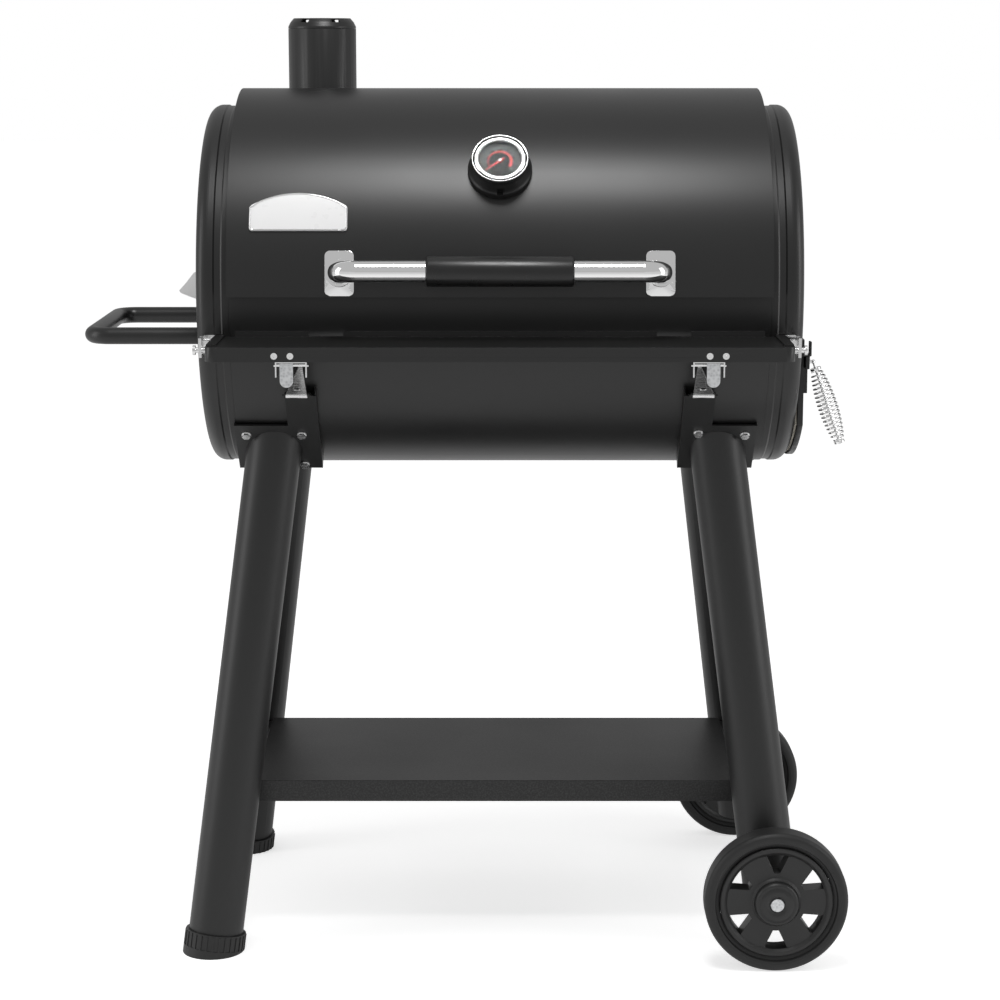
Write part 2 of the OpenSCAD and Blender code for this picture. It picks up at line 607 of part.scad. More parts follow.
// ---------------------------------------------------------------- front shelf
shelf_back = 262;
lip_half = 353;
side_lip = 13;
keeper_x = 269.5;
bolt_y = -271;
bolt_z = 853;
module front_shelf() color(steel_black) at_floor() difference() {
    union() {
        translate([-shelf_half, -shelf_front, shelf_z - sheet])
            cube([2 * shelf_half, shelf_front - shelf_back, sheet]);
        translate([0, 0, shelf_z - apron_h]) linear_extrude(height = apron_h - 0.5) difference() {
            shelf_plan(0);
            shelf_plan(sheet);
            translate([-lip_half, -shelf_back - 6]) square([2 * lip_half, 20]);
        }
        for (s = [0, 1]) mirror([s, 0, 0]) {
            translate([-shelf_half + 1, -shelf_front + 14, shelf_z - 0.5])
                cube([side_lip, shelf_front - shelf_back - 16, 3]);
        }
        translate([-lip_half, -shelf_back - sheet, shelf_z - 1]) cube([2 * lip_half, sheet, 8.5]);
    }
    for (s = [-1, 1]) translate([s * 232 - 23, -shelf_back - 5, shelf_z + 1]) cube([46, 10, 20]);
    for (s = [-1, 1], x = rivet_x) translate([s * (keeper_x - x), 0, keeper_top + 8]) rod_y(2.3, -400, -300);
    corner_cut();
}
shelf_corner = 12;
module shelf_plan(inset) translate([0, -(shelf_front + shelf_back) / 2]) union() {
    w = 2 * (shelf_half - inset);
    h = shelf_front - shelf_back - 2 * inset;
    rounded_rect(w, h, shelf_corner - inset);
}
module corner_cut() both_sides() translate([-shelf_half - 1, -shelf_front - 1, shelf_z - 30]) difference() {
    cube([shelf_corner + 1, shelf_corner + 1, 40]);
    translate([shelf_corner + 1, shelf_corner + 1, -1]) cylinder(r = shelf_corner, h = 60);
}
module shelf_bolts() color(stainless) at_floor() both_sides() translate([0, bolt_y, bolt_z]) union() {
    rod_x(3.7, shelf_half + 0.1, cap_x - 1);
    rod_x(6.6, cap_x - 2, cap_x + 1.6);
    rod_x(6.6, shelf_half + 0.1, shelf_half + 3);
}
hook_x = 397.3;
hook_t = 4;
module hook_plate() difference() {
    translate([-290, -72]) square([60, 26]);
    translate([bolt_y, bolt_z - axis_z]) circle(4.1);
    translate([bolt_y - 4.1, bolt_z - axis_z]) square([8.2, 40]);
    circle(cap_r + 0.3);
}
module shelf_hooks() color(stainless) at_axis() both_sides() union() {
    side_plate(hook_x - hook_t / 2, hook_t) hook_plate();
    translate([0, bolt_y - 8, bolt_z - axis_z]) rotate([90, 0, 0]) linear_extrude(height = 2)
        polygon([[hook_x - 1, 14], [hook_x - 12, 14], [hook_x - 1, 5.5]]);
    intersection() {
        tube_x(cap_r + 2.6, cap_r + 0.2, hook_x - 26, hook_x - 1);
        translate([hook_x - 26, -262, -72]) cube([25, 40, 26]);
    }
}
// Spring latches under the shelf: a keeper riveted to the apron, a thumb tongue and a strut.
keeper_w = 41;
keeper_top = shelf_z - apron_h;
keeper_y0 = -shelf_front;
rivet_x = [-21.4, -0.6];
module at_left_latch() at_floor() translate([-keeper_x, 0, 0]) children();
module at_right_latch() at_floor() mirror([1, 0, 0]) translate([-keeper_x, 0, 0]) children();
pivot_z = keeper_top - 5;
pivot_y = keeper_y0 + 8;
module latch_keepers() color(stainless) {
    at_left_latch() keeper();
    at_right_latch() keeper();
}
module keeper() difference() {
    union() {
        translate([-keeper_w / 2, keeper_y0 + sheet + 0.2, keeper_top - 1.5]) cube([keeper_w, 20, 1.5]);
        for (x = [-keeper_w / 2, keeper_w / 2 - 1.8]) translate([x, keeper_y0 + sheet + 0.2, keeper_top - 20])
            cube([1.8, 14, 19]);
        translate([-keeper_w / 2, keeper_y0 + sheet + 0.2, keeper_top - 1.5]) cube([keeper_w, 1.5, 15]);
        for (x = rivet_x) translate([x, 0, keeper_top + 8]) {
            rod_y(2.2, keeper_y0 - 1, keeper_y0 + sheet + 1);
            rod_y(4.3, keeper_y0 - rivet_out, keeper_y0 - 0.1);
        }
        translate([0, pivot_y, pivot_z]) rod_x(1.6, -keeper_w / 2 - 2, keeper_w / 2 + 2);
    }
    for (x = rivet_x) translate([x, 0, keeper_top + 8]) rod_y(1.4, keeper_y0 - rivet_out - 1, keeper_y0 - 0.9);
}
tongue_w = 17.2;
tongue_x = -6.2;
tongue_drop = 20;
module tongue() translate([tongue_x, pivot_y, pivot_z]) difference() {
    union() {
        rod_x(3.1, -tongue_w / 2, tongue_w / 2);
        translate([0, -1.2, 0]) rotate([90, 0, 0]) linear_extrude(height = 2) union() {
            translate([-tongue_w / 2, -tongue_drop]) square([tongue_w, tongue_drop]);
            translate([0, -tongue_drop]) circle(tongue_w / 2);
        }
    }
    rod_x(1.6 + run, -30, 30);
}
module latch_tongue_left() color([0.55, 0.56, 0.57]) at_left_latch() tongue();
module latch_tongue_right() color([0.55, 0.56, 0.57]) at_right_latch() tongue();
strut_y0 = -250;
strut_z0 = 789;
strut_x = -4;
strut_w = 29;
strut_reach = 122;
strut_rise = 54;
strut_angle = atan(strut_rise / strut_reach);
strut_len = norm([strut_rise, strut_reach]);
module strut() translate([strut_x, strut_y0, strut_z0]) difference() {
    union() {
        rod_x(3.4, -strut_w / 2, strut_w / 2);
        rotate([-strut_angle, 0, 0]) translate([0, 0, -1]) linear_extrude(height = 2) difference() {
            polygon([[-14, 0], [14, 0], [14, -6], [18, -strut_len], [13, -strut_len], [-14, -6]]);
            translate([3, -34]) circle(5);
        }
    }
    rod_x(1.8 + run, -40, 40);
}
module latch_strut_left() color(stainless) at_left_latch() strut();
module latch_strut_right() color(stainless) at_right_latch() strut();

// ---------------------------------------------------------------- leg brackets
bracket_d = barrel_r + 3;
bracket_t = 3;
module at_bracket(sx, sy) at_axis() translate([leg_mid_x, 0, 0])
    mirror([sx < 0 ? 1 : 0, 0, 0]) mirror([0, sy > 0 ? 1 : 0, 0]) rotate([45, 0, 0]) children();
bracket_in = 248.5;
bracket_x1 = 359;
bracket_low = -91;
bracket_mid = 8;
bracket_top = 76;
tall_w = 42.5;
inner_bolt = 24.5;
outer_bolt = 343.5;
function inner_edge(sx) = bracket_in - sx * leg_mid_x;
function bolt_places(sx) = concat([[outer_bolt, -12], [inner_edge(sx) + inner_bolt, sx < 0 ? -12 : -8]],
    sx < 0 ? [[inner_edge(sx) + inner_bolt, -82]] : []);
module bracket_plate(sx, front) difference() {
    x0 = inner_edge(sx);
    union() {
        translate([x0, -bracket_d - bracket_t, bracket_low])
            cube([bracket_x1 - x0, bracket_t, bracket_mid - bracket_low]);
        if (front) translate([x0, -bracket_d - bracket_t, bracket_low])
            cube([tall_w, bracket_t, bracket_top - bracket_low]);
        for (x = [x0, bracket_x1 - 2]) translate([x, -bracket_d - 1, bracket_low])
            cube([2, 24, (front && x == x0 ? bracket_top : bracket_mid) - bracket_low]);
    }
    rod_x(barrel_r + 0.3, 200, 400);
    for (b = bolt_places(sx)) translate([b[0], 0, b[1]]) rod_y(4, -300, -200);
}
module leg_brackets() color(steel_black) {
    for (sx = [-1, 1], sy = [-1, 1]) at_bracket(sx, sy) bracket_plate(sx, sy < 0);
    for (s = [-1, 1]) at_floor() translate([s * (keeper_x - strut_x), strut_y0, strut_z0]) union() {
        rod_x(1.8, -19, 19);
        for (x = [-17, 15]) translate([x, -3, -3]) cube([2, 20, 6]);
    }
}
module bracket_bolts() for (sx = [-1, 1], sy = [-1, 1]) at_bracket(sx, sy)
    for (b = bolt_places(sx)) translate([b[0], -bracket_d - bracket_t, b[1]]) {
        rod_y(6.8, -1.6, -0.1);
        rotate([90, 0, 0]) translate([0, 0, 1]) cylinder(r = 6, h = 4, $fn = 6);
    }

module frame_bolts() color(stainless) {
    side_handle_bolts();
    bracket_bolts();
}

// ---------------------------------------------------------------- legs
leg_tilt = atan(sqrt(lean_x * lean_x + lean_y * lean_y));
leg_turn = atan2(lean_y, lean_x);
// A leg in the (+X, +Y) quarter, leaning in as it rises, is mirrored to the other corners.
module at_leg(sx, sy) at_floor() translate([leg_mid_x, 0, 0]) mirror([sx < 0 ? 1 : 0, 0, 0])
    mirror([0, sy < 0 ? 1 : 0, 0]) translate([foot_x, foot_y, 0]) rotate([0, 0, leg_turn + 180])
    rotate([0, leg_tilt, 0]) children();
end_plate = 3;
module leg(sx, sy, low, closed = 0) difference() {
    at_leg(sx, sy) translate([0, 0, -60]) cylinder(d = leg_d, h = 960);
    intersection() {
        at_leg(sx, sy) translate([0, 0, -61]) cylinder(d = leg_d - 4, h = 962);
        at_floor() translate([-600, -600, low - 1 + closed * (end_plate + 1)]) cube([1200, 1200, 1000]);
    }
    at_floor() translate([-600, -600, -200]) cube([1200, 1200, 200 + low]);
    at_bracket(sx, sy) translate([0, -bracket_d - bracket_t - 0.2, -400]) cube([600, 700, 1200]);
    at_bracket(sx, sy) translate([0, -bracket_d - 400, 60]) cube([600, 900, 1200]);
}
leg_bolt_z = 214;
leg_low = 58;
module legs_left() color(steel_black) for (sy = [-1, 1]) leg(-1, sy, 6);
module legs_right() color(steel_black) for (sy = [-1, 1]) difference() {
    leg(1, sy, leg_low, 1);
    at_floor() translate([wheel_x, 0, wheel_r]) rod_y(axle_r + run, -400, 400);
}
cap_ribs = 30;
module foot_caps() color([0.04, 0.04, 0.04]) for (sy = [-1, 1]) difference() {
    at_leg(-1, sy) union() {
        translate([0, 0, -20]) cylinder(r = 42, h = 48);
        translate([0, 0, -20]) cylinder(r = 43, h = 26);
        for (i = [0 : cap_ribs - 1]) rotate([0, 0, i * 360 / cap_ribs]) translate([41, -1.2, -20])
            cube([2, 2.4, 46]);
    }
    intersection() {
        at_leg(-1, sy) translate([0, 0, -30]) cylinder(d = leg_d + 0.4, h = 90);
        at_floor() translate([-600, -600, 5.5]) cube([1200, 1200, 100]);
    }
    at_floor() translate([-600, -600, -100]) cube([1200, 1200, 100]);
}

bs_half_x = 345;
bs_half_y = 168;
bs_drop = 31;
module bottom_shelf() color(steel_black) at_floor() translate([leg_mid_x, 0, bottom_shelf_z - bs_drop]) difference() {
    translate([-bs_half_x, -bs_half_y, 0]) cube([2 * bs_half_x, 2 * bs_half_y, bs_drop]);
    translate([-bs_half_x + 2, -bs_half_y + 2, -1]) cube([2 * bs_half_x - 4, 2 * bs_half_y - 4, bs_drop - 1]);
}
module bottom_shelf_lugs() color(steel_black) for (sx = [-1, 1], sy = [-1, 1]) difference() {
    at_floor() translate([leg_mid_x, 0, 0]) mirror([sx < 0 ? 1 : 0, 0, 0]) mirror([0, sy < 0 ? 1 : 0, 0])
        translate([bs_half_x + 0.2, bs_half_y - 40, leg_bolt_z - 12]) cube([24, 60, 20]);
    at_leg(sx, sy) cylinder(d = leg_d + 0.3, h = 400);
}

// ---------------------------------------------------------------- axle and wheels
axle_r = 6;
hub_half = 17;
axle_end = wheel_y + wheel_w / 2 + 6;
module axle() color(stainless) at_floor() translate([wheel_x, 0, wheel_r]) rod_y(axle_r, -axle_end, axle_end);
module axle_nuts() color(stainless) at_floor() translate([wheel_x, 0, wheel_r])
    for (s = [-1, 1]) scale_y(s) difference() {
        union() {
            rod_y(12, wheel_y + hub_half + 0.4, wheel_y + hub_half + 1.6);
            translate([0, wheel_y + hub_half + 1.5, 0]) rotate([-90, 0, 0]) cylinder(r = 10, h = 7, $fn = 6);
            rod_y(9, wheel_y + hub_half + 8, wheel_y + wheel_w / 2 + nut_end);
            rod_y(10, 262, wheel_y - hub_half - 0.4);
        }
        rod_y(axle_r + run, 200, axle_end + 0.2);
    }
rim_gap_r = 82.8;
windows = 6;
web_half = 13.5;
lip_out = 17.8;
window_in = 41;
window_out = 67;
hub_r = 33;
module tyre_shape() rotate([90, 0, 0]) rotate_extrude() polygon(concat(
    [[rim_gap_r - 5, -13], [rim_gap_r, -15], [rim_gap_r + 1.5, -19], [rim_gap_r + 5, -20]],
    arc(wheel_r - 8, 8 - wheel_w / 2, 8, -90, 0, 6), arc(wheel_r - 8, wheel_w / 2 - 8, 8, 0, 90, 6),
    [[rim_gap_r + 5, 20], [rim_gap_r + 1.5, 19], [rim_gap_r, 15], [rim_gap_r - 5, 13]]));
module rim_shape() difference() {
    rotate([90, 0, 0]) rotate_extrude() polygon([
        [axle_r + run, -hub_half], [hub_r - 2.5, -hub_half], [hub_r, 2 - hub_half], [hub_r + 1.5, -web_half],
        [67.5, -web_half], [70, -16.5], [72, -lip_out], [75.5, -lip_out], [77.5, -16.5],
        [77.5, 16.5], [75.5, lip_out], [72, lip_out], [70, 16.5], [67.5, web_half],
        [hub_r + 1.5, web_half], [hub_r, hub_half - 2], [hub_r - 2.5, hub_half], [axle_r + run, hub_half]]);
    for (i = [0 : windows - 1]) rotate([0, i * 360 / windows, 0]) intersection() {
        rotate([90, 0, 0]) translate([0, 0, -20]) difference() {
            cylinder(r = window_out, h = 40);
            translate([0, 0, -1]) cylinder(r = window_in, h = 42);
        }
        rotate([90, 0, 0]) translate([0, 0, -30]) linear_extrude(height = 60)
            polygon([[-3.5, window_in - 1], [3.5, window_in - 1], [17.5, window_out + 2], [-17.5, window_out + 2]]);
    }
}
module at_wheel(s) at_floor() translate([wheel_x, s * wheel_y, wheel_r]) children();
module tyre_front() color([0.05, 0.05, 0.05]) at_wheel(-1) tyre_shape();
module rim_front() color([0.1, 0.1, 0.1]) at_wheel(-1) rim_shape();
module tyre_rear() color([0.05, 0.05, 0.05]) at_wheel(1) tyre_shape();
module rim_rear() color([0.1, 0.1, 0.1]) at_wheel(1) rim_shape();

barrel_shell();
end_cap_left();
end_cap_right();
inner_ledges();
rack_hangers();
side_handle();
frame_bolts();
hinge_ears();
pivot_pins();
lid_shell();
lid_hinge_leaves();
handle_plates();
handle_tube();
handle_grip();
nameplate();
gauge_housing();
gauge_dial();
gauge_lens();
gauge_bezel();
gauge_stem();
gauge_needle();
chimney_pipe();
chimney_vent_ring();
chimney_crown();
damper_disc();
side_door();
door_gasket();
door_pins();
door_hinge_bracket();
door_keeper();
door_latch();
spring_rod();
spring_coil();
end_plug();
cooking_grid_left();
cooking_grid_middle();
cooking_grid_right();
warming_rack();
charcoal_tray();
ash_pan();
front_shelf();
shelf_bolts();
shelf_hooks();
latch_keepers();
latch_tongue_left();
latch_tongue_right();
latch_strut_left();
latch_strut_right();
leg_brackets();
legs_left();
legs_right();
foot_caps();
bottom_shelf();
bottom_shelf_lugs();
axle();
axle_nuts();
tyre_front();
rim_front();
tyre_rear();
rim_rear();
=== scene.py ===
# %% [markdown]
# # A barrel charcoal grill, dressed around its CAD frame
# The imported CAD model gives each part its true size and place. This lesson adds what a maker
# adds last: the coats, the plating, the dial, the coil handle and the small bright fittings.
# Everything is in metres, +Z is up, and the cook stands on the -Y side.

# %% Load the CAD frame
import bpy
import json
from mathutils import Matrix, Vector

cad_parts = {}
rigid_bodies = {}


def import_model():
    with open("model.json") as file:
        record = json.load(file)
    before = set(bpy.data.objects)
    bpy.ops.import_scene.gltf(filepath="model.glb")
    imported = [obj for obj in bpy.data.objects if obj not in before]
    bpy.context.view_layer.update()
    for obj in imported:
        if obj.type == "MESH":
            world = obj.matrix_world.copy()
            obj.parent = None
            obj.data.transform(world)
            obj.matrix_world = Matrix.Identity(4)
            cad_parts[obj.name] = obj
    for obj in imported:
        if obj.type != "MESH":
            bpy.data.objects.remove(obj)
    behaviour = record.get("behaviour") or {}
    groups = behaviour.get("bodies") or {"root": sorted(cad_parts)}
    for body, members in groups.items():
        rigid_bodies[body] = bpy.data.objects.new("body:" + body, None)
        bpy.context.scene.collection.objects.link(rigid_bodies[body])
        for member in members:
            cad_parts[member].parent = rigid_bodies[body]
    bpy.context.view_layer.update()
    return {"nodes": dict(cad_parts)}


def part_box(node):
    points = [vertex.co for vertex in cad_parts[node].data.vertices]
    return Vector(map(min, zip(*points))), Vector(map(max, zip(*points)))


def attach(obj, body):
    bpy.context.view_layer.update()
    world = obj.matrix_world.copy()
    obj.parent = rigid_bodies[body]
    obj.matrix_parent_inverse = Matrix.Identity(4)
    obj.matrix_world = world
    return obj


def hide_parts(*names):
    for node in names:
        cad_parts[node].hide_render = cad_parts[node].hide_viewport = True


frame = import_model()

# %% [markdown]
# The barrel's axis is the line that the lid, the end caps and the handle are all measured from.
# It is read off the frame, so that nothing here has to be moved by hand if the CAD changes.

# %% Find the barrel's axis
import json
import math

import bmesh
import bpy
from mathutils import Matrix, Vector

shell_low, shell_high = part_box("barrel_shell")
cap_low, cap_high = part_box("end_cap_right")
AXIS = Vector(((shell_low.x + shell_high.x) / 2, (cap_low.y + cap_high.y) / 2,
               (cap_low.z + cap_high.z) / 2))
print("barrel axis at", [round(c, 4) for c in AXIS])


def outward(angle):
    """The direction that leaves the barrel's axis towards the cook, angle degrees above level."""
    a = math.radians(angle)
    return Vector((0, -math.cos(a), math.sin(a)))


def facing(angle, x, reach):
    """A matrix whose Z points outward at that angle, whose X is the barrel's, and whose origin
    is reach metres from the axis and x metres from the barrel's middle."""
    out = outward(angle)
    up = out.cross(Vector((1, 0, 0)))
    turn = Matrix((Vector((1, 0, 0)), up, out)).transposed().to_4x4()
    return Matrix.Translation(AXIS + Vector((x, 0, 0)) + out * reach) @ turn


# %% [markdown]
# ## Finishes
# A finish is one Principled shader. What makes it read as a real coat is variation: a slow change
# of gloss from handling and spraying, and a fine grain in the surface. Both are noise on Object
# coordinates, which stay put on the part when the camera or a joint moves.

# %% Helpers for finishes
def new_finish(name, colour, rough, metal=0.0, **sockets):
    """A material with one Principled shader, its plain values set on the shader itself."""
    made = bpy.data.materials.new(name)
    made.use_nodes = True
    shader = made.node_tree.nodes["Principled BSDF"]
    shader.inputs["Base Color"].default_value = (*colour, 1)
    shader.inputs["Roughness"].default_value = rough
    shader.inputs["Metallic"].default_value = metal
    for socket, value in sockets.items():
        shader.inputs[socket.replace("_", " ")].default_value = value
    return made


def pattern(made, kind="ShaderNodeTexNoise", output="Fac", stretch=(1, 1, 1), turn=(0, 0, 0), **values):
    """A texture on Object coordinates. stretch squeezes it along each axis."""
    tree = made.node_tree
    coords = tree.nodes.new("ShaderNodeTexCoord")
    mapping = tree.nodes.new("ShaderNodeMapping")
    mapping.inputs["Scale"].default_value = stretch
    mapping.inputs["Rotation"].default_value = [math.radians(t) for t in turn]
    texture = tree.nodes.new(kind)
    for socket, value in values.items():
        texture.inputs[socket].default_value = value
    tree.links.new(coords.outputs["Object"], mapping.inputs["Vector"])
    tree.links.new(mapping.outputs["Vector"], texture.inputs["Vector"])
    return texture.outputs[output]


def vary(made, source, socket, low, high, start=0.3, end=0.7):
    """Lets a pattern drive one of the shader's sockets between two values."""
    tree = made.node_tree
    spread = tree.nodes.new("ShaderNodeMapRange")
    for name, value in (("From Min", start), ("From Max", end), ("To Min", low), ("To Max", high)):
        spread.inputs[name].default_value = value
    tree.links.new(source, spread.inputs["Value"])
    tree.links.new(spread.outputs["Result"], tree.nodes["Principled BSDF"].inputs[socket])


def tint(made, source, dark, light, start=0.3, end=0.7):
    """Lets a pattern run the base colour between two colours."""
    tree = made.node_tree
    ramp = tree.nodes.new("ShaderNodeValToRGB")
    for stop, place, colour in zip(ramp.color_ramp.elements, (start, end), (dark, light)):
        stop.position = place
        stop.color = (*colour, 1)
    tree.links.new(source, ramp.inputs["Fac"])
    tree.links.new(ramp.outputs["Color"], tree.nodes["Principled BSDF"].inputs["Base Color"])


def relief(made, source, depth, strength=1.0):
    """Lets a pattern raise the surface by depth metres. A second call adds to the first."""
    tree = made.node_tree
    normal = tree.nodes["Principled BSDF"].inputs["Normal"]
    bump = tree.nodes.new("ShaderNodeBump")
    bump.inputs["Distance"].default_value = depth
    bump.inputs["Strength"].default_value = strength
    if normal.is_linked:
        tree.links.new(normal.links[0].from_socket, bump.inputs["Normal"])
    tree.links.new(source, bump.inputs["Height"])
    tree.links.new(bump.outputs["Normal"], normal)


def grey(value):
    return (value, value, value)


# %% [markdown]
# Powder coat is baked paint. On the barrel and lid it is satin, so lights show as broad soft
# bands, and on the shelves it is a fine texture that breaks the light up. Both come from one
# recipe with a different grain.

# %% Black powder coats
def powder_coat(name, base, rough, grain_depth, grains=1400.0):
    made = new_finish(name, grey(base), rough)
    slow = pattern(made, Scale=3.5, Detail=2.0)
    vary(made, slow, "Roughness", rough - 0.03, rough + 0.04)
    relief(made, pattern(made, Scale=grains, Detail=2.0), grain_depth)
    relief(made, pattern(made, Scale=45.0, Detail=1.0), 0.00004, 0.35)
    return made


satin_coat = powder_coat("satin_powder_coat", 0.0085, 0.36, 0.00001)
leg_coat = powder_coat("leg_powder_coat", 0.011, 0.42, 0.000012)
shelf_coat = powder_coat("textured_powder_coat", 0.010, 0.47, 0.00006, 700.0)
tint(shelf_coat, pattern(shelf_coat, Scale=420.0, Detail=3.0), grey(0.005), grey(0.022), 0.42, 0.68)
print("coats:", satin_coat.name, leg_coat.name, shelf_coat.name)

# %% [markdown]
# The bright parts are of four kinds. The handle and the thermometer's ring are chromed, so they
# mirror the room. The latches and hooks are stainless, brushed along their length. The nuts and
# the axle are zinc plated, with faint crystals. The damper and the pans are plain rolled sheet.

# %% Plated and brushed metals
bright_chrome = new_finish("bright_chrome", grey(0.9), 0.05, 1.0)
vary(bright_chrome, pattern(bright_chrome, Scale=30.0, Detail=3.0), "Roughness", 0.035, 0.085)

brushed_stainless = new_finish("brushed_stainless", grey(0.78), 0.24, 1.0)
brush_lines = pattern(brushed_stainless, stretch=(0.05, 1, 1), Scale=1500.0, Detail=2.0)
vary(brushed_stainless, brush_lines, "Roughness", 0.16, 0.34)
relief(brushed_stainless, brush_lines, 0.00001, 0.6)

zinc_plate = new_finish("zinc_plate", (0.62, 0.63, 0.64), 0.34, 1.0)
crystals = pattern(zinc_plate, "ShaderNodeTexVoronoi", "Distance", Scale=260.0)
vary(zinc_plate, crystals, "Roughness", 0.26, 0.45, 0.1, 0.7)
tint(zinc_plate, crystals, (0.5, 0.51, 0.52), (0.72, 0.73, 0.74), 0.1, 0.7)

rolled_aluminium = new_finish("rolled_aluminium", grey(0.9), 0.38, 1.0)
roll_lines = pattern(rolled_aluminium, stretch=(1, 1, 0.04), Scale=900.0, Detail=2.0)
vary(rolled_aluminium, roll_lines, "Roughness", 0.3, 0.46)
relief(rolled_aluminium, roll_lines, 0.00001, 0.5)

galvanised_sheet = new_finish("galvanised_sheet", (0.5, 0.51, 0.52), 0.4, 0.9)
spangle = pattern(galvanised_sheet, "ShaderNodeTexVoronoi", "Color", Scale=90.0)
vary(galvanised_sheet, spangle, "Roughness", 0.3, 0.55, 0.0, 1.0)
tint(galvanised_sheet, spangle, (0.36, 0.37, 0.38), (0.62, 0.63, 0.64), 0.0, 1.0)
print("metals made")

# %% [markdown]
# The rest are the hand grip's sleeve, the wheels, the foot caps, the braided door seal, the
# enamelled iron and steel of the fire side, and the blank name plate.

# %% Rubber, plastic, iron and braid
sleeve_plastic = new_finish("sleeve_plastic", grey(0.007), 0.3)
vary(sleeve_plastic, pattern(sleeve_plastic, Scale=25.0, Detail=2.0), "Roughness", 0.26, 0.36)
relief(sleeve_plastic, pattern(sleeve_plastic, Scale=1800.0), 0.000008)

wheel_plastic = new_finish("wheel_plastic", grey(0.013), 0.4)
vary(wheel_plastic, pattern(wheel_plastic, Scale=18.0, Detail=2.0), "Roughness", 0.35, 0.46)
relief(wheel_plastic, pattern(wheel_plastic, Scale=1500.0), 0.000015)

tyre_rubber = new_finish("tyre_rubber", grey(0.010), 0.52)
vary(tyre_rubber, pattern(tyre_rubber, Scale=22.0, Detail=3.0), "Roughness", 0.44, 0.6)
relief(tyre_rubber, pattern(tyre_rubber, Scale=900.0, Detail=2.0), 0.00003)

foot_plastic = new_finish("foot_plastic", grey(0.011), 0.45)
vary(foot_plastic, pattern(foot_plastic, Scale=30.0), "Roughness", 0.4, 0.52)
relief(foot_plastic, pattern(foot_plastic, Scale=1300.0), 0.00002)

door_braid = new_finish("door_braid", (0.62, 0.58, 0.5), 0.85)
strands = pattern(door_braid, "ShaderNodeTexWave", "Fac", turn=(45, 0, 0), Scale=260.0, Distortion=1.5)
tint(door_braid, strands, (0.4, 0.37, 0.31), (0.72, 0.68, 0.6), 0.2, 0.8)
relief(door_braid, strands, 0.0004)

enamelled_iron = new_finish("enamelled_iron", grey(0.018), 0.5)
casting = pattern(enamelled_iron, Scale=240.0, Detail=4.0)
vary(enamelled_iron, casting, "Roughness", 0.4, 0.62)
relief(enamelled_iron, casting, 0.00025, 0.6)

enamelled_steel = new_finish("enamelled_steel", grey(0.06), 0.45)
soot = pattern(enamelled_steel, Scale=9.0, Detail=5.0)
tint(enamelled_steel, soot, grey(0.03), grey(0.085))
vary(enamelled_steel, soot, "Roughness", 0.38, 0.6)

plate_white = new_finish("plate_white", grey(0.82), 0.3, Coat_Weight=0.4)
vary(plate_white, pattern(plate_white, Scale=60.0), "Roughness", 0.26, 0.36)

# The dial's own black print; the same finish also paints shade into the bezel's groove.
dial_black_and_groove_shade = new_finish("dial_black_and_groove_shade", grey(0.004), 0.5, Specular_IOR_Level=0.1)
vary(dial_black_and_groove_shade, pattern(dial_black_and_groove_shade, Scale=400.0), "Roughness", 0.44, 0.58)
dial_white = new_finish("dial_white", grey(0.85), 0.5)
vary(dial_white, pattern(dial_white, Scale=400.0), "Roughness", 0.44, 0.58)
dial_red = new_finish("dial_red", (0.75, 0.012, 0.008), 0.35)
vary(dial_red, pattern(dial_red, Scale=300.0), "Roughness", 0.3, 0.42)

clear_glass = new_finish("clear_glass", grey(1.0), 0.0, Transmission_Weight=1.0, IOR=1.12)
vary(clear_glass, pattern(clear_glass, Scale=40.0, Detail=2.0), "Roughness", 0.0, 0.012)
print("other finishes made")

# %% [markdown]
# Every CAD part keeps its mesh and takes a finish. The list below is the painter's plan: one line
# for each finish.

# %% Dress the CAD parts
PLAN = {
    satin_coat: "barrel_shell end_cap_left end_cap_right inner_ledges hinge_ears lid_shell "
                "lid_hinge_leaves gauge_housing chimney_pipe chimney_vent_ring chimney_crown side_door "
                "door_hinge_bracket door_keeper door_latch end_plug leg_brackets side_handle front_shelf",
    leg_coat: "legs_left legs_right",
    shelf_coat: "bottom_shelf bottom_shelf_lugs",
    brushed_stainless: "frame_bolts pivot_pins gauge_stem door_pins warming_rack shelf_bolts "
                       "shelf_hooks latch_strut_left latch_strut_right rack_hangers",
    zinc_plate: "latch_tongue_left latch_tongue_right axle axle_nuts",
    bright_chrome: "handle_plates handle_tube gauge_bezel spring_rod spring_coil latch_keepers",
    sleeve_plastic: "handle_grip",
    plate_white: "nameplate",
    rolled_aluminium: "damper_disc",
    dial_black_and_groove_shade: "gauge_dial",
    dial_red: "gauge_needle",
    clear_glass: "gauge_lens",
    door_braid: "door_gasket",
    enamelled_iron: "cooking_grid_left cooking_grid_middle cooking_grid_right",
    enamelled_steel: "charcoal_tray",
    galvanised_sheet: "ash_pan",
    foot_plastic: "foot_caps",
    tyre_rubber: "tyre_front tyre_rear",
    wheel_plastic: "rim_front rim_rear",
}


def dress(part, made):
    """Gives every material slot of a part one finish."""
    if not part.material_slots:
        part.data.materials.append(made)
    for slot in part.material_slots:
        slot.material = made


for made, names in PLAN.items():
    for name in names.split():
        dress(frame["nodes"][name], made)
undressed = set(frame["nodes"]) - {n for names in PLAN.values() for n in names.split()}
print("parts without a finish:", sorted(undressed))

# %% [markdown]
# ## Softened edges
# Folded sheet and cast parts have no razor edges. Each fold is a small radius that catches a
# thin line of light, and without it a part looks cut from card. The CAD meshes are loose
# triangles, so a Weld modifier joins them first, and a Bevel then rounds only the sharp edges.

# %% Round the folds and rims
EDGE_RADII = {
    0.0011: "front_shelf leg_brackets bottom_shelf door_latch door_keeper gauge_housing chimney_crown",
    0.0008: "latch_strut_left latch_strut_right latch_keepers frame_bolts axle_nuts "
            "handle_plates chimney_pipe side_door hinge_ears lid_hinge_leaves shelf_hooks",
    0.0016: "rim_front rim_rear handle_grip",
}


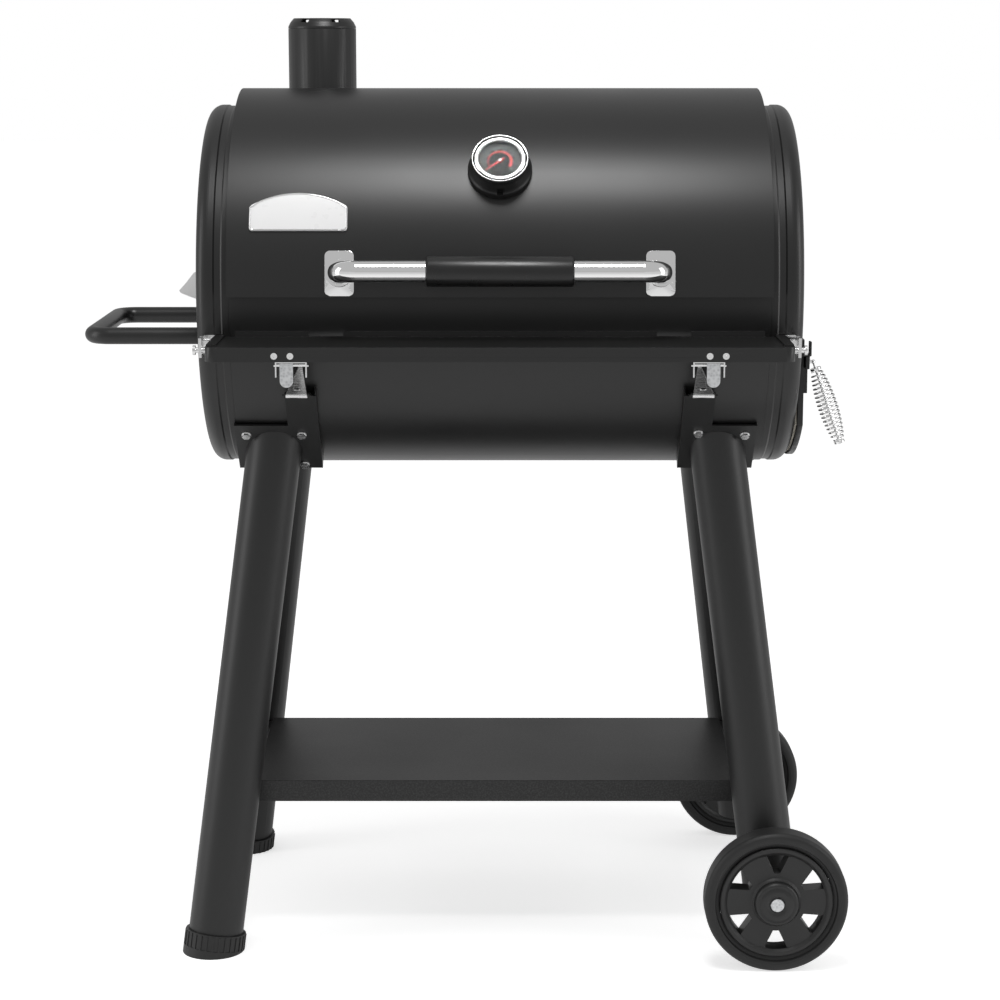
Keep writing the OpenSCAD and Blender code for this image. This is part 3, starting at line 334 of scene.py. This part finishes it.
def soften(part, radius, turn=35.0, steps=2):
    """Welds a part's triangles and rounds the edges that turn more than that many degrees."""
    weld = part.modifiers.new("join_triangles", "WELD")
    weld.merge_threshold = 0.00001
    rounding = part.modifiers.new("round_edges", "BEVEL")
    rounding.width = radius
    rounding.segments = steps
    rounding.limit_method = "ANGLE"
    rounding.angle_limit = math.radians(turn)
    rounding.harden_normals = True
    rounding.use_clamp_overlap = True


for radius, names in EDGE_RADII.items():
    for name in names.split():
        soften(frame["nodes"][name], radius)
print("edges rounded on", sum(len(n.split()) for n in EDGE_RADII.values()), "parts")

# %% [markdown]
# ## Pieces made by rule
# What repeats or follows a path is grown by Geometry Nodes. A tree is built here in code, its
# sizes are named inputs, and its result is turned into a plain mesh for one body.

# %% Helpers for Geometry Nodes
KINDS = {float: "NodeSocketFloat", int: "NodeSocketInt"}


class Tree:
    """A Geometry Nodes tree with named size inputs."""

    def __init__(self, name, **sizes):
        self.group = bpy.data.node_groups.new(name, "GeometryNodeTree")
        sockets = self.group.interface
        sockets.new_socket("Geometry", in_out="OUTPUT", socket_type="NodeSocketGeometry")
        self.ids = {}
        for size, value in sizes.items():
            socket = sockets.new_socket(size, in_out="INPUT", socket_type=KINDS[type(value)])
            socket.default_value = value
            self.ids[size] = socket.identifier
        self.inputs = self.group.nodes.new("NodeGroupInput").outputs

    def add(self, kind, output=0, settings=None, **values):
        """Adds a node, sets or links its inputs by name, and returns one output."""
        made = self.group.nodes.new(kind)
        for key, value in (settings or {}).items():
            setattr(made, key, value)
        for key, value in values.items():
            self.put(made.inputs[key.replace("_", " ")], value)
        return made.outputs[output]

    def put(self, socket, value):
        if isinstance(value, bpy.types.NodeSocket):
            self.group.links.new(value, socket)
        else:
            socket.default_value = value

    def math(self, operation, *values):
        made = self.group.nodes.new("ShaderNodeMath")
        made.operation = operation
        for socket, value in zip(made.inputs, values):
            self.put(socket, value)
        return made.outputs[0]

    def vector(self, x=0.0, y=0.0, z=0.0):
        return self.add("ShaderNodeCombineXYZ", X=x, Y=y, Z=z)

    def finish(self, geometry, made):
        """Ends the tree: instances become real, and the finish goes on."""
        real = self.add("GeometryNodeRealizeInstances", Geometry=geometry)
        dressed = self.add("GeometryNodeSetMaterial", Geometry=real, Material=made)
        self.group.links.new(dressed, self.group.nodes.new("NodeGroupOutput").inputs[0])
        return self


def grow(tree, name, place=None, **sizes):
    """Runs a tree once and returns its result as a plain mesh object at the origin."""
    seed = bpy.data.objects.new(name + "_seed", bpy.data.meshes.new(name + "_seed"))
    modifier = seed.modifiers.new("grow", "NODES")
    modifier.node_group = tree.group
    for size, value in sizes.items():
        modifier[tree.ids[size]] = value
    bpy.context.scene.collection.objects.link(seed)
    ready = seed.evaluated_get(bpy.context.evaluated_depsgraph_get())
    mesh = bpy.data.meshes.new_from_object(ready)
    bpy.data.objects.remove(seed)
    if place is not None:
        mesh.transform(place)
    made = bpy.data.objects.new(name, mesh)
    bpy.context.scene.collection.objects.link(made)
    print(f"{name}: {len(mesh.polygons)} faces")
    return made


def fit_on(piece, body):
    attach(piece, body)
    return piece


# %% [markdown]
# The end door's handle is a coil of steel wire, because open turns stay cool in the hand. It is
# a helix whose radius swells in the middle. A straight curve is cut into short steps, each step
# is moved onto the helix by its share of the length, and a round section follows the path.

# %% Wind the coil handle
COIL_TILT = math.radians(161)
COIL_BASE = Vector((AXIS.x + 0.4305, AXIS.y - 0.169, AXIS.z - 0.092))
COIL_START = 0.014
BELLY_FULLNESS = 0.7

coil = Tree("coil_handle", Turns=17.0, Length=0.1, End_radius=0.0066, Swell=0.0066, Wire=0.0012,
            Steps=680)
share = coil.add("GeometryNodeSplineParameter", output=0)
angle = coil.math("MULTIPLY", share, coil.math("MULTIPLY", coil.inputs["Turns"], math.tau))
arch = coil.math("SINE", coil.math("MULTIPLY", share, math.pi))
belly = coil.math("POWER", coil.math("MAXIMUM", arch, 0.0), BELLY_FULLNESS)
reach = coil.math("MULTIPLY_ADD", belly, coil.inputs["Swell"], coil.inputs["End_radius"])
spot = coil.vector(coil.math("MULTIPLY", reach, coil.math("COSINE", angle)),
                   coil.math("MULTIPLY", reach, coil.math("SINE", angle)),
                   coil.math("MULTIPLY", share, coil.inputs["Length"]))
line = coil.add("GeometryNodeCurvePrimitiveLine", End=(0, 0, 1))
steps = coil.add("GeometryNodeResampleCurve", Curve=line, Count=coil.inputs["Steps"])
path = coil.add("GeometryNodeSetPosition", Geometry=steps, Position=spot)
section = coil.add("GeometryNodeCurvePrimitiveCircle", Resolution=10, Radius=coil.inputs["Wire"])
wire = coil.group.nodes.new("GeometryNodeCurveToMesh")
coil.put(wire.inputs["Curve"], path)
coil.put(wire.inputs["Profile Curve"], section)
coil.put(wire.inputs["Fill Caps"], True)
coil.finish(wire.outputs[0], bright_chrome)

coil_tilt = Matrix.Rotation(COIL_TILT, 4, "Y")
coil_place = Matrix.Translation(COIL_BASE) @ coil_tilt @ Matrix.Translation((0, 0, COIL_START))
coil_handle = grow(coil, "coil_handle", coil_place)
fit_on(coil_handle, "latch_lever")
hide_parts("spring_coil")

# %% [markdown]
# The thermometer's face is a printed dial under glass. Printing has no thickness to speak of, so
# the scale, the marks and the red band are thin plates a third of a millimetre high. The ticks
# are one small plate put on each point of an arc and turned to follow it.

# %% Print the dial's ticks
DIAL_ANGLE = 38.0
DIAL_REACH = 0.2986
dial_place = facing(DIAL_ANGLE, 0.0, DIAL_REACH)

ticks = Tree("ticks_on_arc", Count=31, Radius=0.028, Start=-40.0, Sweep=260.0, Length=0.003,
             Width=0.0006, Height=0.0003)
number = ticks.add("GeometryNodeInputIndex")
part = ticks.math("DIVIDE", number, ticks.math("SUBTRACT", ticks.inputs["Count"], 1.0))
degrees = ticks.math("MULTIPLY_ADD", part, ticks.inputs["Sweep"], ticks.inputs["Start"])
bearing = ticks.math("RADIANS", degrees)
seat = ticks.vector(ticks.math("MULTIPLY", ticks.inputs["Radius"], ticks.math("COSINE", bearing)),
                    ticks.math("MULTIPLY", ticks.inputs["Radius"], ticks.math("SINE", bearing)))
points = ticks.add("GeometryNodePoints", Count=ticks.inputs["Count"], Position=seat)
plate_size = ticks.vector(ticks.inputs["Length"], ticks.inputs["Width"], ticks.inputs["Height"])
plate = ticks.add("GeometryNodeMeshCube", Size=plate_size)
marks = ticks.add("GeometryNodeInstanceOnPoints", Points=points, Instance=plate,
                  Rotation=ticks.vector(z=bearing))
ticks.finish(marks, dial_white)

fine_ticks = grow(ticks, "dial_ticks", dial_place, Count=41, Radius=0.0253, Length=0.003, Width=0.0005)
fit_on(fine_ticks, "lid")
bold_marks = grow(ticks, "dial_marks", dial_place, Count=8, Radius=0.0186, Length=0.0028, Width=0.0016)
fit_on(bold_marks, "lid")

# %% [markdown]
# The scale's line and the red band are flat rings that stop short of a full turn. The band is
# thin where the fire is cool and widens towards hot, so its two edges are drawn separately.

# %% Print the scale line and the red band
def flat_band(name, inner, outer, start, sweep, height, made, steps=48, round_end=False):
    """A flat band on the dial. inner and outer give its edges' radii along its length, 0 to 1."""
    shape = bmesh.new()
    rows = []
    for i in range(steps + 1):
        t = i / steps
        a = math.radians(start + sweep * t)
        edge = [(r(t) * math.cos(a), r(t) * math.sin(a)) for r in (inner, outer)]
        rows.append([shape.verts.new((x, y, z)) for z in (0.0, height) for x, y in edge])
    for a, b in zip(rows, rows[1:]):
        for j, k in ((0, 1), (1, 3), (3, 2), (2, 0)):
            shape.faces.new((a[j], a[k], b[k], b[j]))
    for row in (rows[0], rows[-1]):
        shape.faces.new((row[0], row[1], row[3], row[2]))
    if round_end:
        a = math.radians(start + sweep)
        middle, half = (inner(1) + outer(1)) / 2, (outer(1) - inner(1)) / 2
        spin = Matrix.Translation((middle * math.cos(a), middle * math.sin(a), height / 2))
        bmesh.ops.create_cone(shape, cap_ends=True, segments=20, radius1=half, radius2=half,
                              depth=height, matrix=spin)
    bmesh.ops.recalc_face_normals(shape, faces=shape.faces)
    mesh = bpy.data.meshes.new(name)
    shape.to_mesh(mesh)
    shape.free()
    mesh.transform(dial_place)
    mesh.materials.append(made)
    made_object = bpy.data.objects.new(name, mesh)
    bpy.context.scene.collection.objects.link(made_object)
    print(f"{name}: {len(mesh.polygons)} faces")
    return made_object


LINE_THICK, BAND_THICK = 0.0003, 0.0004
scale_line = flat_band("dial_scale_line", lambda t: 0.0214, lambda t: 0.0219, -42, 264,
                       LINE_THICK, dial_white)
fit_on(scale_line, "lid")
red_band = flat_band("dial_red_band", lambda t: 0.0157 - 0.0028 * t, lambda t: 0.0163 + 0.0009 * t,
                     215, -243, BAND_THICK, dial_red, round_end=True)
fit_on(red_band, "lid")

# %% [markdown]
# A needle turns on a polished cap. The cap rides on the needle's own body, so it turns with it.

# %% Cap the needle's pivot
def turned(name, profile, place, made, steps=40):
    """A turned part: profile is (radius, height) pairs, spun round the local Z."""
    shape = bmesh.new()
    rings = []
    for i in range(steps):
        a = math.tau * i / steps
        rings.append([shape.verts.new((r * math.cos(a), r * math.sin(a), z)) for r, z in profile])
    for a, b in zip(rings, rings[1:] + rings[:1]):
        for p, q, r, s in zip(a, b, b[1:], a[1:]):
            shape.faces.new((p, q, r, s))
    bmesh.ops.remove_doubles(shape, verts=shape.verts, dist=1e-7)
    bmesh.ops.recalc_face_normals(shape, faces=shape.faces)
    for face in shape.faces:
        face.smooth = True
    mesh = bpy.data.meshes.new(name)
    shape.to_mesh(mesh)
    shape.free()
    mesh.transform(place)
    mesh.materials.append(made)
    made_object = bpy.data.objects.new(name, mesh)
    bpy.context.scene.collection.objects.link(made_object)
    print(f"{name}: {len(mesh.polygons)} faces")
    return made_object


NEEDLE_TOP = 0.3016
PIVOT_DOME = [(0, 0), (0.0028, 0), (0.0028, 0.0004), (0.0022, 0.0009), (0.0012, 0.0012), (0, 0.0013)]
pivot_cap = turned("needle_cap", PIVOT_DOME, facing(DIAL_ANGLE, 0.0, NEEDLE_TOP), bright_chrome)
fit_on(pivot_cap, "needle")

# %% [markdown]
# The bezel is two polished rings with a groove between them. A lathe cuts such a shape, so
# the same turning helper makes it: one profile from the outer wall, over both rings, and back.
# The groove's darkness is painted shade: a thin black ring laid in the groove's floor.

# %% Turn the bezel
BEZEL_SEAT = 0.3012
BEZEL_WALL = [(0.0336, 0), (0.0375, 0), (0.0375, 0.0042), (0.0373, 0.0052), (0.0368, 0.0057),
              (0.0361, 0.0052)]
BEZEL_GROOVE = [(0.0359, 0.0036), (0.0339, 0.0036)]
BEZEL_FACE = [(0.0337, 0.0052), (0.0325, 0.0057), (0.0295, 0.0053), (0.0279, 0.0047),
              (0.0277, 0.00435), (0.0336, 0.00435)]
bezel_place = facing(DIAL_ANGLE, 0.0, BEZEL_SEAT)
bezel_profile = BEZEL_WALL + BEZEL_GROOVE + BEZEL_FACE
bezel = turned("bezel_rings", bezel_profile + bezel_profile[:1], bezel_place, bright_chrome, steps=96)
fit_on(bezel, "lid")
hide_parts("gauge_bezel")
# Painted shade: a near-black ring fills the groove's floor to darken the recess between the rings.
GROOVE_SHADE_RING = [(0.034, 0.0037), (0.0358, 0.0037), (0.0358, 0.0045), (0.034, 0.0045)]
groove = turned("bezel_groove_shade", GROOVE_SHADE_RING + GROOVE_SHADE_RING[:1], bezel_place, dial_black_and_groove_shade, steps=96)
fit_on(groove, "lid")

# %% [markdown]
# Each wheel wears a pressed hub cap that hides the nut and washer behind a black dish. It could
# be a solid disc, but the axle's end would cut through it. A thin ring round the end leaves room.
# It rides on the wheel, so it spins with it.

# %% Press the hub caps
HUB_CAP = [(0.0097, 0.0276), (0.0215, 0.0276), (0.0228, 0.0262), (0.0244, 0.0262), (0.0258, 0.0272),
           (0.0285, 0.0262), (0.0308, 0.0225), (0.0312, 0.0174), (0.0302, 0.0174), (0.0297, 0.0221),
           (0.0277, 0.0252), (0.0097, 0.0261)]
for end, sign in (("front", 1), ("rear", -1)):
    low, high = (Vector(corner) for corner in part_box("rim_" + end))
    hub_place = Matrix.Translation((low + high) / 2) @ Matrix.Rotation(sign * math.pi / 2, 4, "X")
    cap = turned("hub_cap_" + end, HUB_CAP + HUB_CAP[:1], hub_place, wheel_plastic, steps=72)
    fit_on(cap, "wheel_" + end)

# %% [markdown]
# ## The name plate's rim
# A pressed plate has a raised bright rim. Its outline is a rounded strip with a shallow arch on
# top, bent over the lid's curve: the outline is drawn flat, then each point is wrapped round.

# %% Press the plate's rim
PLATE_ANGLE = 23.4
PLATE_X = -0.2675
PLATE_W, PLATE_H, PLATE_ARCH, PLATE_CORNER = 0.130, 0.035, 0.019, 0.004
PLATE_R = 0.2784
ARCH_DROP = 0.001
RIM_INSET, RIM_LIFT, RIM_WIRE = 0.0012, 0.0001, 0.0009


def plate_outline(inset):
    """The plate's outline, anticlockwise, as flat (x, height) pairs."""
    w, h, c = PLATE_W / 2 - inset, PLATE_H / 2 - inset, PLATE_CORNER
    pairs = []
    for cx, cy, a0 in ((-w + c, -h + c, 180), (w - c, -h + c, 270), (w - c, h - c, 0)):
        for i in range(7):
            a = math.radians(a0 + 15 * i)
            pairs.append((cx + c * math.cos(a), cy + c * math.sin(a)))
    radius = ((PLATE_W / 2) ** 2 + PLATE_ARCH ** 2) / (2 * PLATE_ARCH)
    for i in range(1, 24):
        x = (w - c) * (1 - i / 12)
        rise = math.sqrt(radius ** 2 - x ** 2) - radius
        pairs.append((x, PLATE_H / 2 + PLATE_ARCH - ARCH_DROP - inset + rise))
    for i in range(7):
        a = math.radians(90 + 15 * i)
        pairs.append((-w + c + c * math.cos(a), h - c + c * math.sin(a)))
    return pairs


def wrapped(x, height, lift=0.0):
    """A flat point of the plate, bent round the lid."""
    a = math.radians(PLATE_ANGLE) + height / PLATE_R
    r = PLATE_R + lift
    return AXIS + Vector((PLATE_X + x, -r * math.cos(a), r * math.sin(a)))


def tube_along(name, points, radius, made, cyclic=False, sides=4):
    """A round wire through those points, as a plain mesh."""
    curve = bpy.data.curves.new(name, "CURVE")
    curve.dimensions = "3D"
    curve.bevel_depth = radius
    curve.bevel_resolution = sides
    curve.use_fill_caps = not cyclic
    spline = curve.splines.new("POLY")
    spline.points.add(len(points) - 1)
    for target, p in zip(spline.points, points):
        target.co = (*p, 1)
    spline.use_cyclic_u = cyclic
    carrier = bpy.data.objects.new(name + "_path", curve)
    bpy.context.scene.collection.objects.link(carrier)
    ready = carrier.evaluated_get(bpy.context.evaluated_depsgraph_get())
    mesh = bpy.data.meshes.new_from_object(ready)
    bpy.data.objects.remove(carrier)
    for face in mesh.polygons:
        face.use_smooth = True
    mesh.materials.clear()
    mesh.materials.append(made)
    made_object = bpy.data.objects.new(name, mesh)
    bpy.context.scene.collection.objects.link(made_object)
    print(f"{name}: {len(mesh.polygons)} faces")
    return made_object


rim_path = [wrapped(x, z, RIM_LIFT) for x, z in plate_outline(RIM_INSET)]
rim = tube_along("nameplate_rim", rim_path, RIM_WIRE, bright_chrome, cyclic=True)
fit_on(rim, "lid")

# %% [markdown]
# ## Light, floor and camera
# The room is a plain pale studio, and its own glow whitens the bright metal all round. One small
# strong panel hangs above and in front and draws the soft patch on the lid. Two tall panels at
# the sides draw the thin lines on the caps and legs.

# %% Hang the lights
def panel(name, place, aim, width, height, radiance, tint_colour=(1, 1, 1)):
    """A soft rectangular light that reflections see and the camera doesn't."""
    light = bpy.data.lights.new(name, "AREA")
    light.shape = "RECTANGLE"
    light.size, light.size_y = width, height
    light.energy = 4 * width * height * radiance
    light.color = tint_colour
    lamp = bpy.data.objects.new(name, light)
    lamp.location = place
    lamp.rotation_euler = (Vector(aim) - Vector(place)).to_track_quat("-Z", "Y").to_euler()
    lamp.visible_camera = False
    bpy.context.scene.collection.objects.link(lamp)
    return lamp


MIDDLE = (0.05, 0.0, 0.75)
panel("overhead", (0.05, -1.0, 3.1), (0.05, 0.0, 0.95), 0.7, 0.85, 12.0)
panel("left_strip", (-2.6, -0.7, 1.3), MIDDLE, 0.8, 2.2, 2.2)
panel("right_strip", (2.7, -0.7, 1.3), MIDDLE, 0.8, 2.2, 2.2)

world = bpy.data.worlds.new("pale_room")
bpy.context.scene.world = world
world.use_nodes = True
sky = world.node_tree.nodes["Background"]
rays = world.node_tree.nodes.new("ShaderNodeLightPath")
brightness = world.node_tree.nodes.new("ShaderNodeMapRange")
ROOM_SEEN, ROOM_GLOW = 1.0, 0.5
brightness.inputs["To Min"].default_value = ROOM_GLOW
brightness.inputs["To Max"].default_value = ROOM_SEEN
world.node_tree.links.new(rays.outputs["Is Camera Ray"], brightness.inputs["Value"])
world.node_tree.links.new(brightness.outputs["Result"], sky.inputs["Strength"])
sky.inputs["Color"].default_value = (1, 1, 1, 1)
bpy.context.scene.view_settings.view_transform = "Standard"
print("lights hung")

# %% [markdown]
# The floor is a wide pale sheet. It gives back some light of its own, as a lit studio floor does,
# so it meets the room with no seam, and what the grill covers still falls into soft shade.

# %% Lay the floor
FLOOR_SIZE = 60.0
floor_mesh = bpy.data.meshes.new("floor")
half = FLOOR_SIZE / 2
corners = [(-half, -half, 0), (half, -half, 0), (half, half, 0), (-half, half, 0)]
floor_mesh.from_pydata(corners, [], [(0, 1, 2, 3)])
floor = bpy.data.objects.new("floor", floor_mesh)
bpy.context.scene.collection.objects.link(floor)
FLOOR_SEEN, FLOOR_GLOW = 0.6, 0.2
floor_pale = new_finish("floor_pale", grey(0.85), 0.8, Emission_Color=(1, 1, 1, 1),
                        Emission_Strength=FLOOR_SEEN)
floor_tree = floor_pale.node_tree
floor_rays = floor_tree.nodes.new("ShaderNodeLightPath")
floor_glow = floor_tree.nodes.new("ShaderNodeMapRange")
floor_shader = floor_tree.nodes["Principled BSDF"]
floor_glow.inputs["To Min"].default_value = FLOOR_GLOW
floor_glow.inputs["To Max"].default_value = FLOOR_SEEN
floor_tree.links.new(floor_rays.outputs["Is Camera Ray"], floor_glow.inputs["Value"])
floor_tree.links.new(floor_glow.outputs["Result"], floor_shader.inputs["Emission Strength"])
dress(floor, floor_pale)

# %% [markdown]
# The camera stands well back with a long lens, a little above the lid, and looks slightly down.

# %% Set up the camera
EYE = (AXIS.x, -3.5525, 1.252)
LOOK_DOWN = 10.3
lens = bpy.data.cameras.new("camera")
lens.lens = 90
lens.sensor_width = 36
camera = bpy.data.objects.new("camera", lens)
camera.location = EYE
camera.rotation_euler = (math.radians(90 - LOOK_DOWN), 0, 0)
bpy.context.scene.collection.objects.link(camera)
bpy.context.scene.camera = camera
